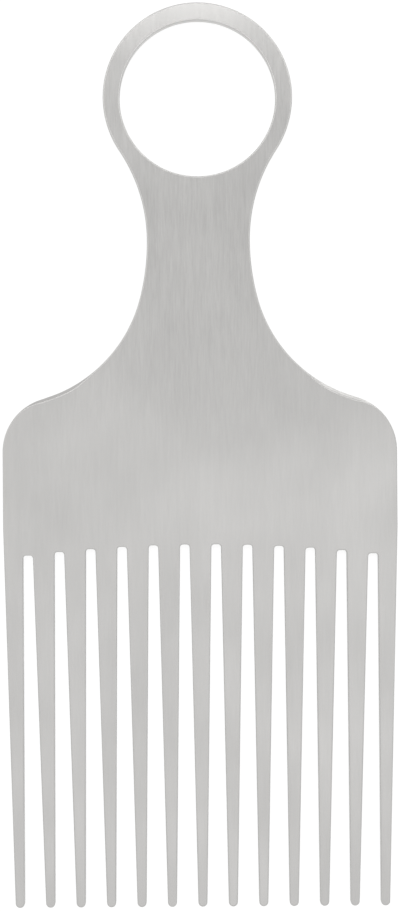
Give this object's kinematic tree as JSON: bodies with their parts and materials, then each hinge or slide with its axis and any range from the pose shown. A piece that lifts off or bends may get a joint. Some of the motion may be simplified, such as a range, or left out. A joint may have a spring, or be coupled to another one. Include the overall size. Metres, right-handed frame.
{
  "type": "afro pick",
  "caption": "Flat sheet-metal hair pick with a ring handle, a waisted neck, sloping shoulders and a row of long tapering teeth.",
  "frame": {"origin": "on the back face, at the middle of the pick's length and width", "axes": "+X across the teeth, +Y from the tooth tips to the ring, +Z out of the front face; the pick lies on its back"},
  "size_m": [0.0786, 0.18, 0.0015],
  "materials": {
    "stainless_sheet": "stainless sheet with a fine brushed grain along the length and softly rounded cut edges"
  },
  "bodies": {
    "root": {"pick": "stainless_sheet"}
  },
  "joints": []
}
